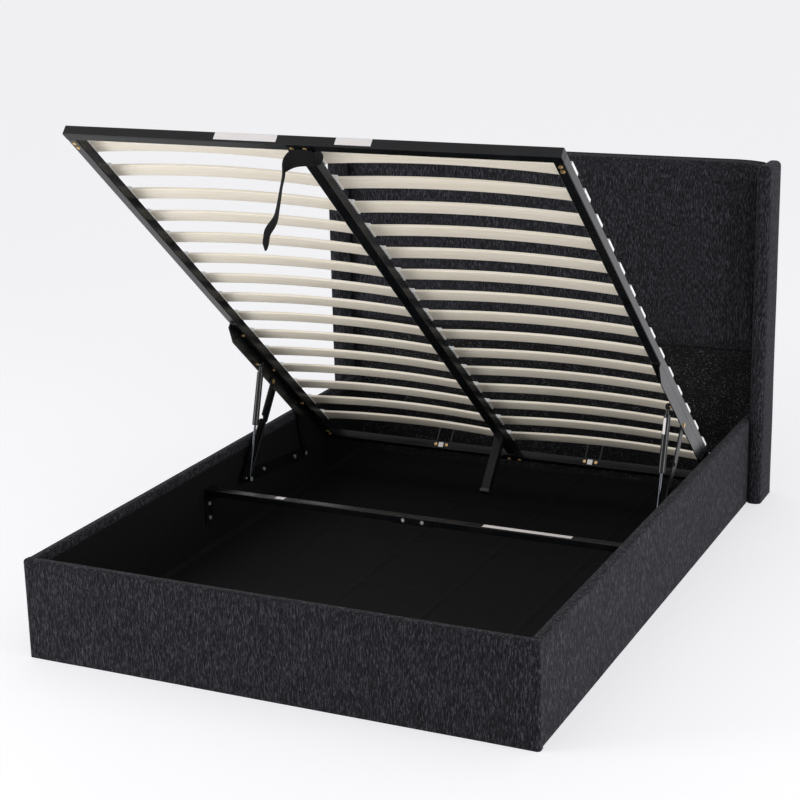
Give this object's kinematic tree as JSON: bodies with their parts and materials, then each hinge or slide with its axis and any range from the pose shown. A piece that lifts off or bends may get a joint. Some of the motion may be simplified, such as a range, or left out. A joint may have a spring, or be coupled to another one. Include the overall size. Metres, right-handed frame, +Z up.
{
  "type": "storage platform bed",
  "caption": "Upholstered storage bed with a winged headboard and a slatted platform that lifts on coupled links and gas struts over an open box.",
  "frame": {"origin": "on the floor under the middle of the bed's outline, platform open", "axes": "+X to the right seen from the foot, +Y from the foot to the headboard, +Z up"},
  "size_m": [1.5166, 2.013, 1.3673],
  "materials": {
    "upholstery": "woven chenille, matte",
    "panel_fabric": "coarse woven, matte",
    "lining": "non-woven, matte",
    "frame_steel": "fine powder coat",
    "bright_steel": "zinc plated",
    "screws": "yellow zinc plated",
    "chrome": "polished",
    "slat_wood": "satin lacquer",
    "holder_plastic": "moulded",
    "foot_plastic": "moulded",
    "webbing": "woven webbing"
  },
  "bodies": {
    "base": {"footboard": "upholstery", "side_rail_left": "upholstery", "side_rail_right": "upholstery", "lining_foot": "lining", "lining_left": "lining", "lining_right": "lining", "base_cloth": "lining", "headboard_core": "upholstery", "headboard_cushion": "upholstery", "headboard_lower_panel": "panel_fabric", "wing_left": "upholstery", "wing_right": "upholstery", "crossbar_left": "frame_steel", "crossbar_right": "frame_steel", "crossbar_sleeve": "frame_steel", "crossbar_bracket_left": "frame_steel", "crossbar_bracket_right": "frame_steel", "hinge_plate_left": "frame_steel", "hinge_plate_right": "frame_steel", "box_bolts": "bright_steel"},
    "front_links": {"front_link_left": "frame_steel", "front_link_right": "frame_steel"},
    "platform": {"foot_rail": "frame_steel", "head_rail": "frame_steel", "side_tube_left": "frame_steel", "side_tube_right": "frame_steel", "centre_beam": "frame_steel", "lift_bar_left": "frame_steel", "lift_bar_right": "frame_steel", "centre_leg": "frame_steel", "leg_foot": "foot_plastic", "retainer_left": "frame_steel", "retainer_right": "frame_steel", "platform_screws": "screws", "pull_strap": "webbing", "slat_holders_left": "holder_plastic", "slat_holders_right": "holder_plastic", "slat_holders_centre": "holder_plastic", "slat_row_01": "slat_wood", "slat_row_02": "slat_wood", "slat_row_03": "slat_wood", "slat_row_04": "slat_wood", "slat_row_05": "slat_wood", "slat_row_06": "slat_wood", "slat_row_07": "slat_wood", "slat_row_08": "slat_wood", "slat_row_09": "slat_wood", "slat_row_10": "slat_wood", "slat_row_11": "slat_wood", "slat_row_12": "slat_wood", "slat_row_13": "slat_wood", "slat_row_14": "slat_wood", "slat_row_15": "slat_wood"},
    "rear_links": {"rear_link_left": "frame_steel", "rear_link_right": "frame_steel"},
    "strut_rods": {"strut_rod_left": "chrome", "strut_rod_right": "chrome"},
    "strut_tubes": {"strut_tube_left": "frame_steel", "strut_tube_right": "frame_steel"}
  },
  "joints": [
    {"name": "front_link_hinge", "type": "hinge", "parent": "base", "child": "front_links", "pos_m": [0, 0.07795, 0.162], "axis": [1, 0, 0], "range_deg": [-52.52, 0], "stiffness_Nm_per_rad": 260, "springref_deg": 57.3},
    {"name": "platform_hinge", "type": "hinge", "parent": "front_links", "child": "platform", "pos_m": [0, 0.27335, 0.42424], "axis": [1, 0, 0], "range_deg": [0, 93.41]},
    {"name": "rear_link_hinge", "type": "hinge", "parent": "base", "child": "rear_links", "pos_m": [0, 0.4937, 0.119], "axis": [1, 0, 0], "range_deg": [-87.58, 0]},
    {"name": "strut_hinge", "type": "hinge", "parent": "base", "child": "strut_rods", "pos_m": [0, 0.07795, 0.162], "axis": [1, 0, 0], "range_deg": [-72.11, 0]},
    {"name": "strut_slide", "type": "slide", "parent": "strut_rods", "child": "strut_tubes", "axis": [0, 0.2863, 0.9582], "range_m": [-0.15371, 0]}
  ],
  "couplings": [
    {"joint": "platform_hinge", "follows": "front_link_hinge", "ratio": -1.7783},
    {"joint": "rear_link_hinge", "follows": "front_link_hinge", "ratio": 1.6673},
    {"joint": "strut_hinge", "follows": "front_link_hinge", "ratio": 1.3728},
    {"joint": "strut_slide", "follows": "front_link_hinge", "m_per_rad": 0.16763}
  ]
}
